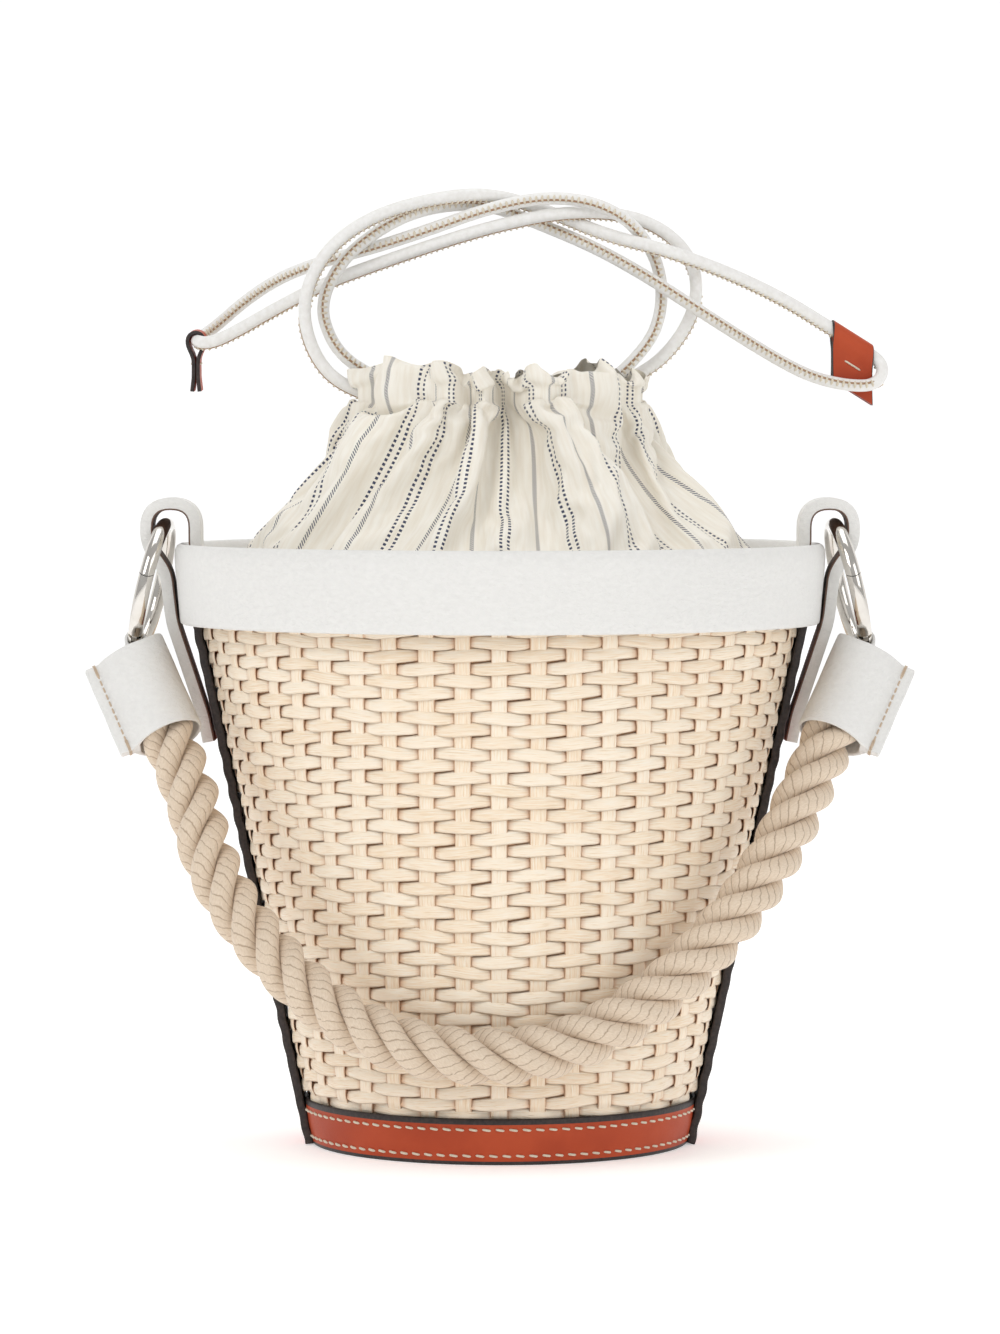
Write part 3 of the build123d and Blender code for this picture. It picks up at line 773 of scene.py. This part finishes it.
# ---------------------------------------------------------------- sleeves
# All in millimetres. A sleeve's section is round, with a flap on its outer side.
SLEEVE_R = 13.3
SLEEVE_START, SLEEVE_SCALE = 0.8, 0.981
FLAP_CORNER = [(20.9, 0.0), (20.9, 1.1), (20.5, 1.6), (18.5, 1.75), (16.9, 1.7), (15.8, 2.0),
               (14.7, 3.6), (13.1, 6.0), (11.0, 8.4), (8.4, 10.5)]
MOUTH_CUT_DEPTH = 24
FLAP_STITCH = ((0, 0.6), (0.4, 0.0), (1.3, -0.1), (2.2, 0.0), (2.6, 0.6))
END_TACK = ((5.5, -1.5), (4.6, -1.95), (1.2, -1.95), (-0.3, -1.3), (-0.5, 0), (-0.3, 1.3),
            (1.2, 1.95), (4.6, 1.95), (5.5, 1.5))


def sleeve_place(side):
    """The middle of a sleeve's mouth, and the sleeve's direction, down along the rope."""
    mouth = np.array((side * 146.674, -13.1265, 198.435)) * MM
    axis = np.array((-side * 0.387089, -0.447015, -0.806436))
    return mouth, axis


for name, side in SIDES:
    mouth, axis = sleeve_place(side)
    flap = np.array((side, 0.0, 0.0)) - axis * axis[0] * side
    flap /= np.linalg.norm(flap)
    beside = np.cross(axis, flap)
    arc = [(SLEEVE_R * math.cos(t), SLEEVE_R * math.sin(t)) for t in np.linspace(1.0, math.pi, 22)]
    outer = FLAP_CORNER + arc
    outer = np.array(outer + [(x, -y) for x, y in outer[-2:0:-1]]) * MM
    inner = np.array([(min(x, 14.2 * MM) - 0.2 * MM, y) for x, y in outer]) * 0.885
    between = (inner + outer) / 2
    # The mouth is cut slantwise, and its side away from the flap stands higher
    front = -np.sign(beside[1]) * outer[:, 1] / (SLEEVE_R * MM)
    raised = 3.2 * np.clip(-outer[:, 0] / (SLEEVE_R * MM), 0, 1) ** 2.2
    rows = []
    for depth, section, size in ((1.2, inner, 1.0), (0.3, inner, 1.02), (0.0, between, 1.0),
                                 (0.25, outer, 0.985), (1.0, outer, 1.0), (12, outer, 1.005),
                                 (22, outer, 0.995), (32, outer, 1.005), (42.0, outer, 1.0),
                                 (42.75, outer, 0.985), (43.0, between, 1.0), (42.7, inner, 1.02),
                                 (42.0, inner, 1.0), (20, inner, 1.0)):
        cut = (1.6 * (1 + front) - raised) * max(0.0, 1 - depth / MOUTH_CUT_DEPTH)
        spots = section * size
        rows.append(mouth + axis * (SLEEVE_START + depth * SLEEVE_SCALE + cut[:, None]) * MM
                    + flap * spots[:, :1] + beside * spots[:, 1:])
    sleeve = Shape()
    sleeve.grid(np.array(rows), rows_close=True, cols_close=True)
    sleeve.build(f"sleeve_{name}_leather", [WHITE], "white_leather", "handle", [f"sleeve_{name}"])
    seam = Shape()
    for out in (1, -1):
        for i in range(11):
            z = (6.2 + i * 3.3) * MM
            spot = mouth + flap * 16.9 * MM + beside * out * 1.8 * MM
            thread(seam, [spot + axis * (z + run * MM) - beside * out * sunk * MM
                          for run, sunk in FLAP_STITCH], 0.38 * MM)
    for end, inward in ((2.6, 1), (42.9, -1)):
        for x in (16.6, 17.2):
            thread(seam, [mouth + flap * x * MM + beside * y * MM + axis * (end + inward * depth) * MM
                          for depth, y in END_TACK], 0.3 * MM)
    seam.build(f"sleeve_{name}_stitches", [BEIGE_THREAD], "white_leather", "handle", sharp=0)

# ---------------------------------------------------------------- keepers
# A keeper is a U of strap round the ring's wire, inside the sleeve
RING_R, KEEPER_BEND_R, KEEPER_LEG = 25.5 * MM, 3.65 * MM, 9 * MM
for name, side in SIDES:
    mouth, axis = sleeve_place(side)
    ring = np.array((side * 139.236, 0.0, 222.354)) * MM
    normal = np.array((-0.971518, -side * 0.07646, -side * 0.224293))
    reach = mouth - ring - normal * ((mouth - ring) @ normal)
    reach /= np.linalg.norm(reach)
    wire = np.cross(normal, reach)
    beside = np.cross(wire, axis)
    beside /= np.linalg.norm(beside)
    ahead = np.cross(beside, wire)
    ahead *= 1 if ahead @ axis > 0 else -1
    centre = ring + reach * RING_R
    bend = [centre + (beside * math.cos(t) - ahead * math.sin(t)) * KEEPER_BEND_R
            for t in np.linspace(0, math.pi, 15)]
    leg_end = centre + ahead * KEEPER_LEG
    line = [leg_end + beside * KEEPER_BEND_R, *bend, leg_end - beside * KEEPER_BEND_R]
    keeper = Shape()
    strap(keeper, line, wire, 7.6 * MM, 1.3 * MM, edge=0)
    keeper.build(f"ring_keeper_{name}_leather", [WHITE], "white_leather", "handle",
                 [f"ring_keeper_{name}"])

# ---------------------------------------------------------------- pouch
# The cloth is a straight tube when flat. Below, it is sewn inside the rim; above, its casing is
# drawn up on the cords; what is between them is simulated.
AROUND = 240
CLOTH_R, NECK_R = 0.1138, 0.050
CLOTH = TAU * CLOTH_R
SEWN, FREE, CASING = 0.0225, 0.088, 0.030
SEWN_ROWS, FREE_ROWS, CASING_ROWS = 6, 30, 11
FLAT_FOOT_Z = 0.2084
RUFFLES = 15
LAST_MOMENT, DRAWN_MOMENT = 60, 44
# In millimetres: the sewn edge, the rim's inner edge and the neck
EDGE_R, EDGE_Z = 117.0, 212.0
RIM_R, RIM_Z = 107.0, 229.0
NECK_Z = 288.5
# Where the casing puffs out, and how much; and the folds at the rim: place, depth and width
LOBES = ((-2.43, 1.0), (-0.80, 1.0), (0.85, 0.9), (2.40, 0.9))
FOLDS = ((-1.55, 13.0, 0.09), (-2.12, 6.0, 0.10), (-1.02, 5.5, 0.11), (-2.70, 6.5, 0.10),
         (-0.45, 6.0, 0.10), (0.10, 5.0, 0.10), (0.62, 6.0, 0.11), (1.15, 5.5, 0.09),
         (1.62, 7.0, 0.10), (2.12, 6.0, 0.10), (2.66, 6.0, 0.11), (3.08, 5.0, 0.09))


def apart(turn, place):
    """Signed angle from a place round the bag."""
    return (turn - place + math.pi) % TAU - math.pi


def lobe(turn):
    """How far the casing puffs out, from 0 where it is tightly gathered to 1."""
    return sum(size * np.exp(-((apart(turn, place) / 0.40) ** 2)) for place, size in LOBES)


# The cloth is spread round the neck unevenly, with more of it where the casing puffs out
fine = np.linspace(-math.pi, math.pi, 2881)
density = 1 / (0.62 + 1.15 * lobe(fine))
density = np.cumsum((density[1:] + density[:-1]) / 2)
cloth_at = np.r_[0, density / density[-1]]
share = np.arange(AROUND) / AROUND
drawn_turn = np.interp(share, cloth_at, fine)
flat_turn = share * TAU - math.pi
puffing = lobe(drawn_turn)
rate = np.gradient(np.unwrap(drawn_turn), TAU / AROUND)
ruffle = np.sqrt(np.maximum(CLOTH_R ** 2 - (NECK_R * rate) ** 2, 0.02 ** 2)) / RUFFLES
ruffle_turn = RUFFLES * (flat_turn + 0.07 * np.sin(3 * flat_turn + 1) + 0.03 * np.sin(7 * flat_turn))


def ring_at(turn, radius, height):
    return np.stack([radius * np.cos(turn), radius * np.sin(turn),
                     np.broadcast_to(height, turn.shape)], axis=1)


def rim_fold(turn):
    return sum(depth * np.exp(-((apart(turn, place) / width) ** 2)) for place, depth, width in FOLDS)


# The drawn-up cloth, row by row, from the sewn edge to the casing's mouth. The sewn rows and the
# cord's channel are held.
levels, drawn_rings, held_rows = [], [], []
for i in range(SEWN_ROWS):
    c = i / (SEWN_ROWS - 1)
    levels.append(SEWN * c)
    radius = EDGE_R + (RIM_R - EDGE_R) * c - c * c * rim_fold(flat_turn)
    drawn_rings.append(ring_at(flat_turn, radius * MM, (EDGE_Z + (RIM_Z - EDGE_Z) * c) * MM))
    held_rows.append(True)
for i in range(1, FREE_ROWS + 1):
    c = i / (FREE_ROWS + 1)
    levels.append(SEWN + FREE * c)
    turn = flat_turn + apart(drawn_turn, flat_turn) * c
    radius = np.interp(c, [0, 0.4, 0.75, 1], [RIM_R, 87.0, 66.0, 51.0])
    height = np.interp(c, [0, 0.4, 0.75, 1], [RIM_Z, 257.0, 276.0, NECK_Z])
    swing = ruffle * np.cos(ruffle_turn) * c / MM - rim_fold(flat_turn) * (1 - c)
    drawn_rings.append(ring_at(turn, (radius + swing) * MM, height * MM))
    held_rows.append(False)
for i in range(CASING_ROWS):
    c = i / (CASING_ROWS - 1)
    levels.append(SEWN + FREE + CASING * c)
    puff = math.sin(math.pi * min(c * 1.15, 1.0)) * (1.2 + 6.5 * puffing) + 2.5 * c * (1 - puffing)
    size = ruffle * (1 - 0.35 * math.sin(math.pi * c)) * np.cos(ruffle_turn) / MM
    size -= 9 * np.exp(-((apart(drawn_turn, -1.55) / 0.12) ** 2))
    top = NECK_Z + c * (22.5 + 5.5 * puffing) + 0.8 * np.sin(5 * drawn_turn) * c
    drawn_rings.append(ring_at(drawn_turn, NECK_R + (puff + size) * MM, top * MM))
    held_rows.append(3 <= i <= 6)
levels = np.array(levels)
flat_rings = np.array([ring_at(flat_turn, np.full(AROUND, CLOTH_R), FLAT_FOOT_Z + level)
                       for level in levels])
drawn_rings = np.array(drawn_rings)

pouch = Shape()
pouch.grid(flat_rings, cols_close=True, u=np.r_[levels, 0],
           v=np.linspace(0, CLOTH, AROUND + 1))
pouch.uvs = [(v, u) for u, v in pouch.uvs]
bag = pouch.build("pouch_cloth", [COTTON], "striped_cotton", "basket",
                  ["pouch_top", "pouch_casing"], sharp=0)
bag.parent = None
held = bag.vertex_groups.new(name="held")
held.add([row * AROUND + i for row, pinned in enumerate(held_rows) if pinned
          for i in range(AROUND)], 1.0, "ADD")
bag.shape_key_add(name="flat")
drawn = bag.shape_key_add(name="drawn")
drawn.data.foreach_set("co", drawn_rings.reshape(-1))
for moment, value in ((1, 0.0), (DRAWN_MOMENT, 1.0)):
    drawn.value = value
    drawn.keyframe_insert("value", frame=moment)
cloth = bag.modifiers.new("cloth", "CLOTH")
cloth.settings.quality = 7
cloth.settings.mass = 0.1
cloth.settings.tension_stiffness = cloth.settings.compression_stiffness = 18
cloth.settings.shear_stiffness = 6
cloth.settings.bending_stiffness = 0.35
cloth.settings.air_damping = 2
cloth.settings.vertex_group_mass = "held"
cloth.settings.use_pressure = True
cloth.settings.uniform_pressure_force = 0.5
cloth.settings.effector_weights.gravity = 0.15
cloth.collision_settings.use_self_collision = True
cloth.collision_settings.self_distance_min = 0.0012
cloth.collision_settings.use_collision = False
cloth.point_cache.frame_start, cloth.point_cache.frame_end = 1, LAST_MOMENT
for moment in range(1, LAST_MOMENT + 1):
    bpy.context.scene.frame_set(moment)
depsgraph = bpy.context.evaluated_depsgraph_get()
result = bpy.data.meshes.new_from_object(bag.evaluated_get(depsgraph))
spots = np.array([v.co for v in result.vertices])
bpy.data.meshes.remove(result)
bpy.context.scene.frame_set(1)
bag.modifiers.clear()
bag.shape_key_clear()
bag.animation_data_clear()
# The cloth stays inside the wall and the rim
reach = np.hypot(spots[:, 0], spots[:, 1])
limit = np.interp(spots[:, 2], [0.212, 0.216, 0.236, 0.240, 0.244],
                  [0.1170, 0.1165, 0.1225, 0.1235, 0.1300])
spots[:, :2] *= np.minimum(1, limit / reach)[:, None]
bag.data.vertices.foreach_set("co", spots.reshape(-1))
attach(bag, "basket")
smoother = bag.modifiers.new("smooth", "SUBSURF")
smoother.levels = smoother.render_levels = 1

lining = Shape()
profile = [(0.5, 8.0), (68, 8.0), (72, 11), (74.6, 21), (94.5, 114), (114.2, 207.9), (116.8, 211.4)]
turned(lining, np.array(profile) * MM, close=False, steps=120)
lining.uvs = [(u * 1.13, v * 0.05) for u, v in lining.uvs]
inside = lining.build("pouch_lining_cloth", [COTTON], "striped_cotton", "basket",
                      ["pouch_lining"], sharp=0)

# ---------------------------------------------------------------- floor, lights
# The floor runs level to behind the bag, and turns up through a quarter circle into a wall
FLOOR_HALF, FLOOR_END, WALL_BEND, WALL_TOP = 30.0, 2.0, 1.5, 5.0
run = [(y, 0.0) for y in (-40.0, -4.0, -2.0, 0.0, FLOOR_END)]
run += [(FLOOR_END + WALL_BEND * math.sin(a), WALL_BEND - WALL_BEND * math.cos(a))
        for a in np.linspace(0.1, math.pi / 2, 12)]
run.append((FLOOR_END + WALL_BEND, WALL_TOP))
points = [(x, y, z) for y, z in run for x in (-FLOOR_HALF, FLOOR_HALF)]
faces = [(2 * i, 2 * i + 1, 2 * i + 3, 2 * i + 2) for i in range(len(run) - 1)]
floor_mesh = bpy.data.meshes.new("floor")
floor_mesh.from_pydata(points, [], faces)
floor_mesh.polygons.foreach_set("use_smooth", [True] * len(faces))
floor_finish = Finish("floor", (0.93, 0.93, 0.93), 0.9, Emission_Strength=0.34)
floor_finish.shader.inputs["Emission Color"].default_value = (1, 1, 1, 1)
soft = floor_finish.noise(3.0)
floor_finish.colour(floor_finish.mix(soft, (0.925, 0.925, 0.925), (0.935, 0.935, 0.935)))
floor_mesh.materials.append(floor_finish.material)
floor = bpy.data.objects.new("floor", floor_mesh)
bpy.context.scene.collection.objects.link(floor)

world = bpy.data.worlds.new("studio")
world.use_nodes = True
world.node_tree.nodes["Background"].inputs[0].default_value = (1, 1, 1, 1)
world.node_tree.nodes["Background"].inputs[1].default_value = 0.52
bpy.context.scene.world = world


def softbox(name, place, aim, size, power):
    light = bpy.data.lights.new(name, "AREA")
    light.shape = "RECTANGLE"
    light.size, light.size_y = size
    light.energy = power
    obj = bpy.data.objects.new(name, light)
    bpy.context.scene.collection.objects.link(obj)
    obj.location = place
    obj.rotation_euler = (Vector(aim) - Vector(place)).to_track_quat("-Z", "Y").to_euler()


softbox("key", (-1.3, -1.6, 1.9), (0, 0, 0.2), (1.2, 1.2), 17)
softbox("fill", (1.6, -1.5, 1.2), (0, 0, 0.2), (1.4, 1.4), 9)
softbox("top", (0, 0.3, 2.2), (0, 0, 0.1), (1.6, 1.6), 11)
bpy.context.scene.view_settings.view_transform = "Standard"
